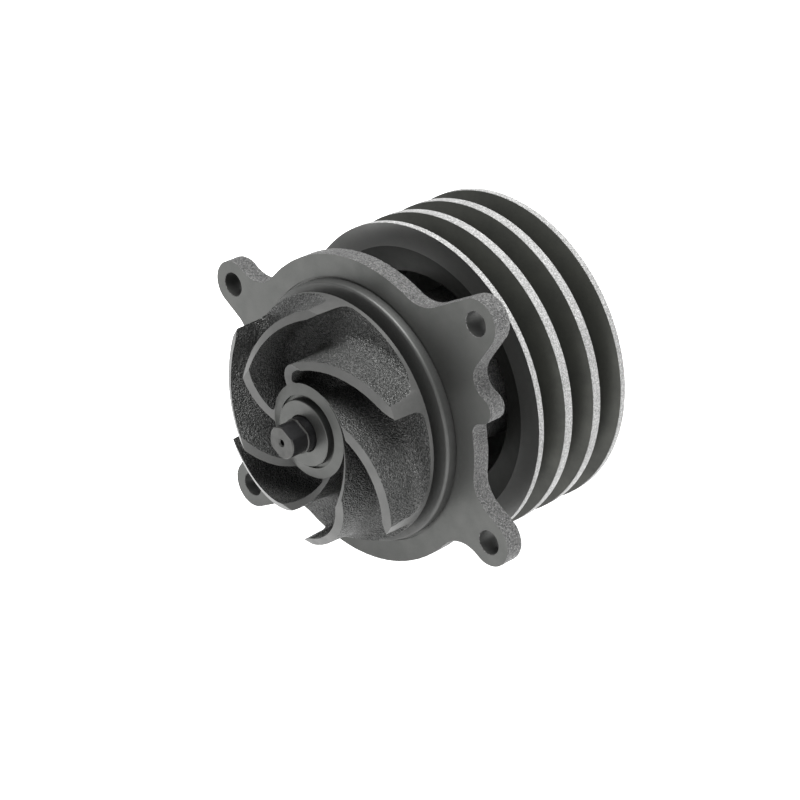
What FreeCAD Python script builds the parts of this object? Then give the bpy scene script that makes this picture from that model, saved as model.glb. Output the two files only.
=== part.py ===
import FreeCAD, Part
import math
import os
import re
import Sketcher
from FreeCAD import Placement, Rotation, Vector

# Water pump for an engine, millimetres, +Z up. The shaft axis is the Y axis. The origin is where it
# meets the flange's mounting face; the impeller is on the -Y side and the pulley on the +Y side.

DIMENSIONS = {
    # mounting flange: a disc with four ears, and a small lobe beside each of the two long ears
    "flange_radius": 67.0,
    "flange_thickness": 8.8,
    "ear_radius": 10.4,
    "ear_hole_radius": 5.25,
    "long_ear_distance": 90.5,
    "long_ear_angle": 42.5,
    "short_ear_distance": 82.3,
    "short_ear_angle": -23.2,
    "lobe_distance": 73.7,
    "lobe_angle": 19.7,
    "lobe_radius": 6.0,
    "short_ear_blend": 14.0,
    "short_ear_blend_angle": -4.8,
    "long_ear_blend": 17.0,
    "long_ear_blend_angle": 64.5,
    "lobe_disc_blend": 5.6,
    "lobe_ear_blend": 8.4,
    "lobe_ear_blend_angle": 70.7,
    # pilot ring in front of the flange
    "pilot_radius": 56.6,
    "pilot_height": 4.3,
    "pilot_edge": 0.8,
    "pilot_inner_radius": 46.0,
    "pilot_relief_width": 1.0,
    "pilot_relief_depth": 0.5,
    "recess_floor": 3.0,
    # bearing barrel behind the flange
    "neck_radius": 47.0,
    "barrel_radius": 34.0,
    "barrel_start": 27.0,
    "barrel_end": 70.0,
    "barrel_chamfer": 1.5,
    # chambers along the housing's axis
    "seal_bore_radius": 19.0,
    "seal_bore_end": 15.0,
    "neck_bore_radius": 10.5,
    "slinger_chamber_start": 17.0,
    "slinger_chamber_end": 24.0,
    "slinger_chamber_radius": 17.5,
    "weep_radius": 3.0,
    # shaft, from the impeller end to the pulley end
    "shaft_front": 42.3,
    "flats_end": 34.2,
    "flats_radius": 7.0,
    "flats_half_width": 6.0,
    "impeller_seat_radius": 7.5,
    "impeller_seat_end": 13.2,
    "seal_seat_radius": 8.0,
    "collar_radius": 12.5,
    "collar_start": 23.0,
    "bearing_seat_radius": 10.0,
    "bearing_seat_end": 66.0,
    "pulley_seat_radius": 8.5,
    "pulley_seat_end": 79.0,
    "thread_radius": 7.0,
    "shaft_end": 91.0,
    "shaft_chamfer": 1.0,
    "centre_hole_radius": 1.2,
    "centre_hole_depth": 3.0,
    # front bearing
    "front_bearing_start": 26.0,
    "front_bearing_width": 14.0,
    "front_bearing_radius": 23.5,
    "front_inner_race_radius": 14.0,
    "front_outer_race_bore": 19.6,
    "front_ball_pitch": 16.75,
    "front_ball_radius": 3.97,
    "front_shoulder_radius": 21.0,
    # rear bearing
    "rear_bearing_start": 50.0,
    "rear_bearing_width": 15.0,
    "rear_bearing_radius": 26.0,
    "rear_inner_race_radius": 14.8,
    "rear_outer_race_bore": 21.3,
    "rear_ball_pitch": 18.0,
    "rear_ball_radius": 4.76,
    "rear_shoulder_radius": 24.0,
    # clearances inside the bearings
    "race_clearance": 0.05,
    "race_chamfer": 0.8,
    "cage_half_thickness": 0.9,
    "cage_edge": 0.9,
    "cage_clearance": 0.2,
    "shield_thickness": 0.5,
    "shield_inset": 0.4,
    "shield_clearance": 0.35,
    # bearing fasteners
    "spacer_radius": 12.8,
    "circlip_radius": 27.4,
    "circlip_inner_radius": 24.0,
    "circlip_thickness": 1.9,
    "circlip_groove_width": 2.1,
    "circlip_groove_radius": 27.6,
    "circlip_gap": 9.0,
    # shaft seal, standing half
    "case_wall": 1.0,
    "case_flange_radius": 22.0,
    "case_floor_bore": 11.0,
    "bellows_inner_radius": 10.6,
    "bellows_radius": 13.2,
    "bellows_start": -1.0,
    "carbon_radius": 14.2,
    "carbon_nose_radius": 12.8,
    "carbon_bore": 9.6,
    "carbon_start": -6.95,
    "spring_pitch_radius": 15.9,
    "spring_wire_radius": 0.8,
    "spring_start": 0.2,
    "spring_turns": 5.0,
    # shaft seal, turning half
    "seat_radius": 14.0,
    "seat_front": -12.0,
    "seat_face": -7.0,
    "seat_bore": 8.6,
    "seat_cup_radius": 15.4,
    "seat_cup_end": -8.6,
    "slinger_radius": 14.5,
    "slinger_start": 19.5,
    "slinger_thickness": 2.0,
    # impeller
    "impeller_radius": 53.6,
    "impeller_back": -9.2,
    "plate_rim_face": -10.8,
    "boss_face": -30.35,
    "boss_radius": 14.4,
    "boss_groove_radius": 15.9,
    "boss_groove_floor": -26.8,
    "hub_ring_face": -28.0,
    "hub_ring_radius": 20.5,
    "hub_ring_outer_face": -27.2,
    "hub_foot_rounding": 9.0,
    "hub_foot_face": -13.4,
    "bore_chamfer": 0.6,
    "vane_count": 6,
    "vane_kink_angle": 89.5,
    "vane_kink_radius": 33.5,
    "vane_kink_face": -36.7,
    "vane_tip_face": -26.1,
    "vane_growth": 0.339,
    "vane_root_sweep": 44.0,
    "vane_tip_sweep": 58.5,
    "vane_tip_end_sweep": 65.0,
    "vane_gap_to_inner_curve": 3.65,
    # pulley
    "pulley_radius": 70.5,
    "pulley_front": 34.5,
    "edge_land": 2.85,
    "groove_width": 12.9,
    "middle_land": 4.35,
    "groove_depth": 12.4,
    "groove_half_angle": 18.0,
    "front_step_radius": 60.3,
    "rim_inner_radius": 48.2,
    "front_step_depth": 5.0,
    "web_front": 72.0,
    "web_rear": 79.0,
    "web_blend": 4.0,
    "rear_recess_radius": 50.0,
    "pulley_hub_radius": 18.0,
    # pulley fasteners
    "key_width": 4.0,
    "key_height": 4.0,
    "key_start": 68.5,
    "key_length": 9.0,
    "washer_radius": 14.0,
    "washer_thickness": 2.5,
    "nut_across_flats": 21.0,
    "nut_height": 8.0,
    "nut_chamfer": 1.4,
}

doc = FreeCAD.newDocument("water_pump")
sheet = doc.addObject("Spreadsheet::Sheet", "dims")
for row, (alias, value) in enumerate(DIMENSIONS.items(), start=1):
    sheet.set(f"A{row}", alias)
    sheet.set(f"B{row}", str(value))
    sheet.setAlias(f"B{row}", alias)
doc.recompute()

# Degrees, and how many of each; the first ball of each row stands at its own angle from x.
FLATS_ANGLE = 30.5
BALL_COUNTS = {"front": 8, "rear": 7}
FIRST_BALL_ANGLES = {"front": 112.5, "rear": 90}
GROOVE_COUNT = 3
SPIRAL_STEPS = 12

PIECES = {}


def bound(formula):
    """The formula with each dimension's name replaced by its cell in the sheet."""
    return re.sub(r"[a-z_]+", lambda word: "dims." + word.group() if word.group() in DIMENSIONS
                  else word.group(), str(formula))


def value(formula):
    """The formula's number."""
    return float(sheet.evalExpression(bound(formula)))


def finished(item, label):
    """Keeps a piece, whose file takes this label."""
    item.Label = label
    PIECES[label] = item
    return item


def primitive(kind, name, placement, **sizes):
    """A primitive whose sizes are bound to the sheet."""
    item = doc.addObject(kind, name)
    for size, formula in sizes.items():
        item.setExpression(size, bound(formula))
    item.Placement = placement
    return item


def cut(base, tool, name):
    item = doc.addObject("Part::Cut", name)
    item.Base = base
    item.Tool = tool
    return item


def group(items, name):
    """Separate solids that share one node."""
    item = doc.addObject("Part::Compound", name)
    item.Links = items
    return item


def polar(distance, angle):
    """A point of the plane across the shaft: x to the right, z up, angle in degrees from x."""
    return Vector(distance * math.cos(math.radians(angle)), distance * math.sin(math.radians(angle)), 0)


ALONG_Y = Rotation(Vector(1, 0, 0), -90)


def on_axis(y):
    """Where a primitive stands on the shaft axis, turned to run along it."""
    return Placement(Vector(0, y, 0), ALONG_Y)


def origin_plane(body, role):
    return next(item for item in body.Origin.OriginFeatures if item.Role == role)


def new_sketch(body, role, label):
    sketch = body.newObject("Sketcher::SketchObject", label)
    sketch.AttachmentSupport = (origin_plane(body, role), [""])
    sketch.MapMode = "FlatFace"
    return sketch


def draw_profile(sketch, points):
    """Draws a closed polygon whose corners, pairs of formulas, are bound to the sheet."""
    corners = [Vector(value(x), value(y), 0) for x, y in points]
    count = len(corners)
    for index in range(count):
        sketch.addGeometry(Part.LineSegment(corners[index], corners[(index + 1) % count]), False)
    for index in range(count):
        sketch.addConstraint(Sketcher.Constraint("Coincident", index, 2, (index + 1) % count, 1))
    for index, (x, y) in enumerate(points):
        for kind, formula, place in (("DistanceX", x, corners[index].x), ("DistanceY", y, corners[index].y)):
            number = sketch.addConstraint(Sketcher.Constraint(kind, -1, 1, index, 1, place))
            sketch.setExpression(f"Constraints[{number}]", bound(formula))
    return sketch


def turn(body, points, label, feature="PartDesign::Revolution"):
    """Turns a profile of (radius, place along the axis) about the Y axis."""
    sketch = draw_profile(new_sketch(body, "XY_Plane", label + "_profile"), points)
    turned = body.newObject(feature, label)
    turned.Profile = sketch
    turned.ReferenceAxis = (sketch, ["V_Axis"])
    turned.Angle = 360
    doc.recompute()
    return turned


def turned_body(label, points):
    """A body that is one turned profile."""
    body = doc.addObject("PartDesign::Body", label + "_body")
    turn(body, points, label + "_turned")
    return body


def ring(label, inner, outer, start, end):
    return turned_body(label, [(inner, start), (outer, start), (outer, end), (inner, end)])


def blend_centre(first, first_radius, second, second_radius, radius, side):
    """Centre of the arc that touches two circles from outside, on the left (+1) or right (-1)."""
    line = second - first
    near = first_radius + radius
    far = second_radius + radius
    along = (near ** 2 - far ** 2 + line.Length ** 2) / (2 * line.Length)
    across = math.sqrt(near ** 2 - along ** 2)
    ahead = Vector(line).normalize()
    return first + ahead * along + Vector(-ahead.y, ahead.x, 0) * (side * across)


def flange_arcs(half_turn):
    """Half of the flange's outline, anticlockwise: (kind, centre, radius formula, centre formulas)."""
    flange = value("flange_radius")
    ear = value("ear_radius")
    lobe_radius = value("lobe_radius")

    def placed(distance, angle):
        at = polar(value(distance), value(angle) + half_turn)
        formulas = (f"{distance} * cos({angle} + {half_turn})", f"{distance} * sin({angle} + {half_turn})")
        return at, formulas

    middle = Vector(0, 0, 0)
    short_ear, short_formulas = placed("short_ear_distance", "short_ear_angle")
    lobe, lobe_formulas = placed("lobe_distance", "lobe_angle")
    long_ear, long_formulas = placed("long_ear_distance", "long_ear_angle")
    blend_distance = "(flange_radius + long_ear_blend)"
    blend_angle = value("long_ear_blend_angle") + half_turn
    long_blend = polar(value(blend_distance), blend_angle)
    long_blend_x = f"{blend_distance} * cos(long_ear_blend_angle + {half_turn})"
    short_blend_distance = "(flange_radius + short_ear_blend)"
    short_blend = polar(value(short_blend_distance), value("short_ear_blend_angle") + half_turn)
    short_blend_y = f"{short_blend_distance} * sin(short_ear_blend_angle + {half_turn})"
    lobe_low = blend_centre(middle, flange, lobe, lobe_radius, value("lobe_disc_blend"), -1)
    lobe_reach = "(lobe_radius + lobe_ear_blend)"
    lobe_high = lobe + polar(value(lobe_reach), value("lobe_ear_blend_angle") + half_turn)
    lobe_high_x = f"{lobe_formulas[0]} + {lobe_reach} * cos(lobe_ear_blend_angle + {half_turn})"
    lower = blend_centre(middle, flange, short_ear * -1, ear, value("short_ear_blend"), -1)
    return [
        ("out", short_ear, "ear_radius", short_formulas),
        ("line", None, None, None),
        ("in", short_blend, "short_ear_blend", (None, short_blend_y)),
        ("out", middle, "flange_radius", ("0", "0")),
        ("in", lobe_low, "lobe_disc_blend", None),
        ("out", lobe, "lobe_radius", lobe_formulas),
        ("in", lobe_high, "lobe_ear_blend", (lobe_high_x, None)),
        ("line", None, None, None),
        ("out", long_ear, "ear_radius", long_formulas),
        ("line", None, None, None),
        ("in", long_blend, "long_ear_blend", (long_blend_x, None)),
        ("out", middle, "flange_radius", ("0", "0")),
        ("in", lower, "short_ear_blend", None),
    ]


def meeting_point(first, second):
    """Where two arcs of the outline that touch from outside meet."""
    reach = value(first[2]) / (value(first[2]) + value(second[2]))
    return first[1] + (second[1] - first[1]) * reach


def inner_tangent(first, second):
    """The ends of the straight run between an outward and an inward arc, in either order."""
    line = second[1] - first[1]
    lean = math.degrees(math.acos((value(first[2]) + value(second[2])) / line.Length))
    turn = -lean if first[0] == "out" else lean
    side = Rotation(Vector(0, 0, 1), turn).multVec(Vector(line).normalize())
    return first[1] + side * value(first[2]), second[1] - side * value(second[2])


def draw_flange_outline(sketch):
    """Draws the outline as arcs that touch each other, with radii and centres bound to the sheet."""
    arcs = flange_arcs(0) + flange_arcs(180)
    count = len(arcs)
    starts = [None] * count
    for index, arc in enumerate(arcs):
        following = arcs[(index + 1) % count]
        if arc[0] == "line":
            ends = inner_tangent(arcs[index - 1], following)
            starts[index] = ends[0]
            starts[(index + 1) % count] = ends[1]
        elif following[0] != "line":
            starts[(index + 1) % count] = meeting_point(arc, following)
    for index, (kind, centre, radius, _) in enumerate(arcs):
        start = starts[index]
        end = starts[(index + 1) % count]
        if kind == "line":
            sketch.addGeometry(Part.LineSegment(start, end), False)
            continue
        if kind == "in":
            start, end = end, start
        circle = Part.Circle(centre, Vector(0, 0, 1), value(radius))
        sketch.addGeometry(Part.ArcOfCircle(circle, circle.parameter(start), circle.parameter(end)), False)
    for index, arc in enumerate(arcs):
        following = arcs[(index + 1) % count]
        leaves = 1 if arc[0] == "in" else 2
        enters = 2 if following[0] == "in" else 1
        pair = ("Tangent", index, leaves, (index + 1) % count, enters)
        sketch.addConstraint(Sketcher.Constraint(*pair))
    for index, (kind, centre, radius, formulas) in enumerate(arcs):
        if kind == "line":
            continue
        number = sketch.addConstraint(Sketcher.Constraint("Radius", index, value(radius)))
        sketch.setExpression(f"Constraints[{number}]", bound(radius))
        if formulas == ("0", "0"):
            sketch.addConstraint(Sketcher.Constraint("Coincident", index, 3, -1, 1))
            continue
        for way, formula in zip(("DistanceX", "DistanceY"), formulas or ()):
            if formula:
                number = sketch.addConstraint(Sketcher.Constraint(way, -1, 1, index, 3, value(formula)))
                sketch.setExpression(f"Constraints[{number}]", bound(formula))
    return sketch


def ear_places():
    """Formulas of the four holes' centres."""
    places = []
    for kind in ("long", "short"):
        distance = f"{kind}_ear_distance"
        for half_turn in (0, 180):
            angle = f"({kind}_ear_angle + {half_turn})"
            places.append((f"{distance} * cos{angle}", f"{distance} * sin{angle}"))
    return places


def draw_circles(sketch, places, radius):
    """Draws equal circles at places given as formulas."""
    for index, (x, y) in enumerate(places):
        centre = Vector(value(x), value(y), 0)
        sketch.addGeometry(Part.Circle(centre, Vector(0, 0, 1), value(radius)), False)
        number = sketch.addConstraint(Sketcher.Constraint("Radius", index, value(radius)))
        sketch.setExpression(f"Constraints[{number}]", bound(radius))
        for way, formula in (("DistanceX", x), ("DistanceY", y)):
            number = sketch.addConstraint(Sketcher.Constraint(way, -1, 1, index, 3, value(formula)))
            sketch.setExpression(f"Constraints[{number}]", bound(formula))
    return sketch


def make_housing():
    """Flange with four ears, pilot ring in front and bearing barrel behind, cast as one."""
    body = doc.addObject("PartDesign::Body", "housing_body")
    flange = body.newObject("PartDesign::Pad", "flange")
    flange.Profile = draw_flange_outline(new_sketch(body, "XZ_Plane", "flange_outline"))
    flange.setExpression("Length", bound("flange_thickness"))
    flange.Reversed = True
    doc.recompute()
    turn(body, [
        ("0", "-pilot_height"),
        ("pilot_radius - pilot_edge", "-pilot_height"),
        ("pilot_radius", "pilot_edge - pilot_height"),
        ("pilot_radius", "flange_thickness / 2"),
        ("neck_radius", "flange_thickness / 2"),
        ("neck_radius", "flange_thickness"),
        ("barrel_radius", "barrel_start"),
        ("barrel_radius", "barrel_end - barrel_chamfer"),
        ("barrel_radius - barrel_chamfer", "barrel_end"),
        ("0", "barrel_end"),
    ], "pilot_and_barrel")
    front_end = "(front_bearing_start + front_bearing_width)"
    rear_end = "(rear_bearing_start + rear_bearing_width)"
    turn(body, [
        ("0", "-pilot_height - 1"),
        ("pilot_inner_radius", "-pilot_height - 1"),
        ("pilot_inner_radius", "recess_floor"),
        ("seal_bore_radius", "recess_floor"),
        ("seal_bore_radius", "seal_bore_end"),
        ("neck_bore_radius", "seal_bore_end"),
        ("neck_bore_radius", "slinger_chamber_start"),
        ("slinger_chamber_radius", "slinger_chamber_start"),
        ("slinger_chamber_radius", "slinger_chamber_end"),
        ("front_shoulder_radius", "slinger_chamber_end"),
        ("front_shoulder_radius", "front_bearing_start"),
        ("front_bearing_radius", "front_bearing_start"),
        ("front_bearing_radius", front_end),
        ("rear_shoulder_radius", front_end),
        ("rear_shoulder_radius", "rear_bearing_start"),
        ("rear_bearing_radius", "rear_bearing_start"),
        ("rear_bearing_radius", rear_end),
        ("circlip_groove_radius", rear_end),
        ("circlip_groove_radius", rear_end + " + circlip_groove_width"),
        ("rear_bearing_radius", rear_end + " + circlip_groove_width"),
        ("rear_bearing_radius", "barrel_end + 1"),
        ("0", "barrel_end + 1"),
    ], "chambers", "PartDesign::Groove")
    turn(body, [
        ("pilot_radius", "-pilot_relief_depth"),
        ("pilot_radius + pilot_relief_width", "-pilot_relief_depth"),
        ("pilot_radius + pilot_relief_width", "pilot_relief_depth"),
        ("pilot_radius", "pilot_relief_depth"),
    ], "pilot_relief", "PartDesign::Groove")
    holes = body.newObject("PartDesign::Pocket", "ear_holes")
    holes.Profile = draw_circles(new_sketch(body, "XZ_Plane", "ear_hole_circles"), ear_places(),
                                 "ear_hole_radius")
    holes.setExpression("Length", bound("flange_thickness + 1"))
    doc.recompute()
    weep = body.newObject("PartDesign::Pocket", "weep_hole")
    middle = ("0", "(slinger_chamber_start + slinger_chamber_end) / 2")
    weep.Profile = draw_circles(new_sketch(body, "XY_Plane", "weep_circle"), [middle], "weep_radius")
    weep.setExpression("Length", bound("neck_radius"))
    doc.recompute()
    return finished(body, "housing")


def make_shaft():
    """Stepped shaft: flats and centre hole at the impeller end, thread at the pulley end."""
    turned = turned_body("shaft", [
        ("0", "centre_hole_depth - shaft_front"),
        ("centre_hole_radius", "centre_hole_depth - centre_hole_radius - shaft_front"),
        ("centre_hole_radius", "-shaft_front"),
        ("flats_radius - shaft_chamfer / 2", "-shaft_front"),
        ("flats_radius", "shaft_chamfer / 2 - shaft_front"),
        ("flats_radius", "-flats_end"),
        ("impeller_seat_radius - shaft_chamfer / 4", "-flats_end"),
        ("impeller_seat_radius", "shaft_chamfer / 4 - flats_end"),
        ("impeller_seat_radius", "-impeller_seat_end"),
        ("seal_seat_radius", "-impeller_seat_end"),
        ("seal_seat_radius", "collar_start"),
        ("collar_radius", "collar_start"),
        ("collar_radius", "front_bearing_start"),
        ("bearing_seat_radius", "front_bearing_start"),
        ("bearing_seat_radius", "bearing_seat_end"),
        ("pulley_seat_radius", "bearing_seat_end"),
        ("pulley_seat_radius", "pulley_seat_end"),
        ("thread_radius", "pulley_seat_end"),
        ("thread_radius", "shaft_end - shaft_chamfer"),
        ("thread_radius - shaft_chamfer", "shaft_end"),
        ("0", "shaft_end"),
    ])
    cutters = [key_blank("shaft_keyway")]
    for half_turn in (0, 180):
        turn_to_flat = Rotation(Vector(0, 1, 0), FLATS_ANGLE + half_turn)
        reach = 2 * value("flats_radius")
        corner = Vector(-reach / 2, -value("shaft_front") - 1, value("flats_half_width"))
        placement = Placement(Vector(0, 0, 0), turn_to_flat) * Placement(corner, Rotation())
        cutters.append(primitive("Part::Box", "flat_cutter", placement, Length="2 * flats_radius",
                                 Width="shaft_front + 1 - flats_end", Height="flats_radius"))
    tools = doc.addObject("Part::MultiFuse", "shaft_cutters")
    tools.Shapes = cutters
    return finished(cut(turned, tools, "shaft_cut"), "shaft")


def key_blank(name):
    """The key's block: half in the shaft, half in the pulley's hub."""
    half_width = value("key_width") / 2
    foot = value("pulley_seat_radius - key_height / 2")
    placement = Placement(Vector(-half_width, value("key_start"), foot), Rotation())
    return primitive("Part::Box", name, placement, Length="key_width", Width="key_length",
                     Height="key_height")


def make_bearing(side):
    """A deep-groove ball bearing: two races, balls, cage and two shields."""
    start = f"{side}_bearing_start"
    end = f"({side}_bearing_start + {side}_bearing_width)"
    centre = f"({side}_bearing_start + {side}_bearing_width / 2)"
    pitch = f"{side}_ball_pitch"
    ball = f"{side}_ball_radius"
    outer = f"{side}_bearing_radius"
    inner_race = f"{side}_inner_race_radius"
    outer_race_bore = f"{side}_outer_race_bore"
    name = f"{side}_bearing_"
    track = primitive("Part::Torus", name + "track", on_axis(value(centre)), Radius1=pitch,
                      Radius2=f"{ball} + race_clearance")
    outer_ring = turned_body(name + "outer_ring", [
        (outer_race_bore, start),
        (f"{outer} - race_chamfer", start),
        (outer, f"{start} + race_chamfer"),
        (outer, f"{end} - race_chamfer"),
        (f"{outer} - race_chamfer", end),
        (outer_race_bore, end),
    ])
    finished(cut(outer_ring, track, name + "outer_cut"), name + "outer_race")
    inner_ring = ring(name + "inner_ring", "bearing_seat_radius", inner_race, start, end)
    finished(cut(inner_ring, track, name + "inner_cut"), name + "inner_race")

    balls = []
    pockets = []
    for index in range(BALL_COUNTS[side]):
        spot = polar(value(pitch), FIRST_BALL_ANGLES[side] + 360 * index / BALL_COUNTS[side])
        placement = Placement(Vector(spot.x, value(centre), spot.y), Rotation())
        balls.append(primitive("Part::Sphere", name + "ball", placement, Radius=ball))
        pockets.append(primitive("Part::Sphere", name + "pocket", placement,
                                 Radius=f"{ball} + cage_clearance"))
    finished(group(balls, name + "ball_group"), name + "balls")
    half_length = f"({ball} + cage_clearance + cage_edge)"
    cage_ring = ring(name + "cage_ring", f"{pitch} - cage_half_thickness", f"{pitch} + cage_half_thickness",
                     f"{centre} - {half_length}", f"{centre} + {half_length}")
    pocket_group = doc.addObject("Part::MultiFuse", name + "pockets")
    pocket_group.Shapes = pockets
    finished(cut(cage_ring, pocket_group, name + "cage_cut"), name + "cage")

    shields = []
    shield_inner = f"{inner_race} + shield_clearance"
    for label, face in (("front", f"{start} + shield_inset"),
                        ("rear", f"{end} - shield_inset - shield_thickness")):
        shields.append(ring(f"{name}{label}_shield", shield_inner, outer_race_bore, face,
                            f"{face} + shield_thickness"))
    finished(group(shields, name + "shield_group"), name + "shields")


def make_bearing_fasteners():
    """The sleeve between the inner races and the snap ring behind the rear bearing."""
    front_end = "front_bearing_start + front_bearing_width"
    rear_end = "rear_bearing_start + rear_bearing_width"
    finished(ring("spacer", "bearing_seat_radius", "spacer_radius", front_end, "rear_bearing_start"),
             "bearing_spacer")
    snap_ring = ring("snap_ring", "circlip_inner_radius", "circlip_radius", rear_end,
                     f"{rear_end} + circlip_thickness")
    corner = Vector(-value("circlip_gap") / 2, value(rear_end) - 1, -value("circlip_radius") - 1)
    gap = primitive("Part::Box", "circlip_gap_cutter", Placement(corner, Rotation()), Length="circlip_gap",
                    Width="circlip_thickness + 2", Height="circlip_radius")
    finished(cut(snap_ring, gap, "circlip_cut"), "bearing_circlip")


def make_seal():
    """Standing half: case, spring, bellows and carbon ring. Turning half: ceramic seat and its cup."""
    finished(turned_body("seal_case", [
        ("seal_bore_radius - case_wall", "recess_floor - case_wall"),
        ("case_flange_radius", "recess_floor - case_wall"),
        ("case_flange_radius", "recess_floor"),
        ("seal_bore_radius", "recess_floor"),
        ("seal_bore_radius", "seal_bore_end"),
        ("case_floor_bore", "seal_bore_end"),
        ("case_floor_bore", "seal_bore_end - case_wall"),
        ("seal_bore_radius - case_wall", "seal_bore_end - case_wall"),
    ]), "seal_case")
    finished(turned_body("seal_bellows", [
        ("bellows_inner_radius", "bellows_start"),
        ("bellows_radius", "bellows_start"),
        ("bellows_radius", "seal_bore_end - 3 * case_wall"),
        ("seal_bore_radius - 2 * case_wall", "seal_bore_end - 3 * case_wall"),
        ("seal_bore_radius - 2 * case_wall", "seal_bore_end - case_wall"),
        ("case_floor_bore", "seal_bore_end - case_wall"),
        ("case_floor_bore", "seal_bore_end - 3 * case_wall"),
        ("bellows_inner_radius", "seal_bore_end - 3 * case_wall"),
    ]), "seal_bellows")
    finished(turned_body("seal_carbon_ring", [
        ("carbon_bore", "carbon_start"),
        ("carbon_nose_radius", "carbon_start"),
        ("carbon_nose_radius", "carbon_start + 2"),
        ("carbon_radius", "carbon_start + 3"),
        ("carbon_radius", "bellows_start"),
        ("carbon_bore", "bellows_start"),
    ]), "seal_carbon_ring")
    finished(turned_body("seal_seat", [
        ("seat_bore", "seat_front"),
        ("seat_radius", "seat_front"),
        ("seat_radius", "seat_face"),
        ("seat_bore", "seat_face"),
    ]), "seal_seat")
    finished(turned_body("seal_seat_cup", [
        ("seat_bore", "-impeller_seat_end"),
        ("seat_cup_radius", "-impeller_seat_end"),
        ("seat_cup_radius", "seat_cup_end"),
        ("seat_radius", "seat_cup_end"),
        ("seat_radius", "seat_front"),
        ("seat_bore", "seat_front"),
    ]), "seal_seat_cup")
    make_spring()


def make_spring():
    """Coil spring between the case's floor and the carbon ring."""
    body = doc.addObject("PartDesign::Body", "seal_spring_body")
    section = new_sketch(body, "XY_Plane", "spring_section")
    wire_centre = ("spring_pitch_radius", "spring_start + spring_wire_radius")
    draw_circles(section, [wire_centre], "spring_wire_radius")
    height = "(seal_bore_end - 3 * case_wall - 2 * spring_wire_radius - spring_start)"
    coil = body.newObject("PartDesign::AdditiveHelix", "spring_coil")
    coil.Profile = section
    coil.ReferenceAxis = (section, ["V_Axis"])
    coil.Mode = "pitch-height-angle"
    coil.setExpression("Height", bound(height))
    coil.setExpression("Pitch", bound(f"{height} / spring_turns"))
    doc.recompute()
    finished(body, "seal_spring")


def make_slinger():
    """Disc on the shaft that throws leaked coolant into the weep hole."""
    finished(ring("slinger_disc", "seal_seat_radius", "slinger_radius", "slinger_start",
                  "slinger_start + slinger_thickness"), "slinger")


def vane_outline():
    """One vane's outline across the shaft, standing on the spiral that it follows."""
    growth = value("vane_growth")
    kink = value("vane_kink_radius")
    gap = value("vane_gap_to_inner_curve")
    root = value("vane_root_sweep")
    outer_end = value("vane_tip_sweep") + 5
    inner_end = value("vane_tip_sweep") + 1.5
    tip_end = value("vane_tip_end_sweep")
    start = value("vane_kink_angle")

    def spiral(first, last, inset):
        turns = [first + (last - first) * step / SPIRAL_STEPS for step in range(SPIRAL_STEPS + 1)]
        curve = Part.BSplineCurve()
        curve.interpolate([polar(kink + growth * sweep - inset, start - sweep) for sweep in turns])
        return curve.toShape(), polar(kink + growth * first - inset, start - first), \
            polar(kink + growth * last - inset, start - last)

    convex, convex_root, convex_tip = spiral(-root, outer_end, 0)
    concave, concave_root, concave_tip = spiral(8 - root, inner_end, gap)
    rim = polar(value("impeller_radius"), start - tip_end)
    beyond = concave_tip + (rim - concave_tip) * 1.5
    edges = [
        convex,
        Part.makeLine(convex_tip, beyond),
        Part.makeLine(beyond, concave_tip),
        concave,
        Part.makeLine(concave_root, convex_root),
    ]
    return Part.Face(Part.Wire(Part.__sortEdges__(edges)))


def round_hub_foot(hub):
    """Rounds the corner where the hub's side meets the back plate."""
    radius = value("hub_ring_radius")
    foot = value("hub_foot_face")
    turned = hub.Tip
    corner = next(
        f"Edge{number}" for number, edge in enumerate(turned.Shape.Edges, start=1)
        if isinstance(edge.Curve, Part.Circle)
        and math.isclose(edge.Curve.Radius, radius, abs_tol=0.01)
        and math.isclose(edge.Curve.Center.y, foot, abs_tol=0.01)
    )
    rounding = hub.newObject("PartDesign::Fillet", "hub_foot")
    rounding.Base = (turned, [corner])
    rounding.setExpression("Radius", bound("hub_foot_rounding"))
    doc.recompute()


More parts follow.
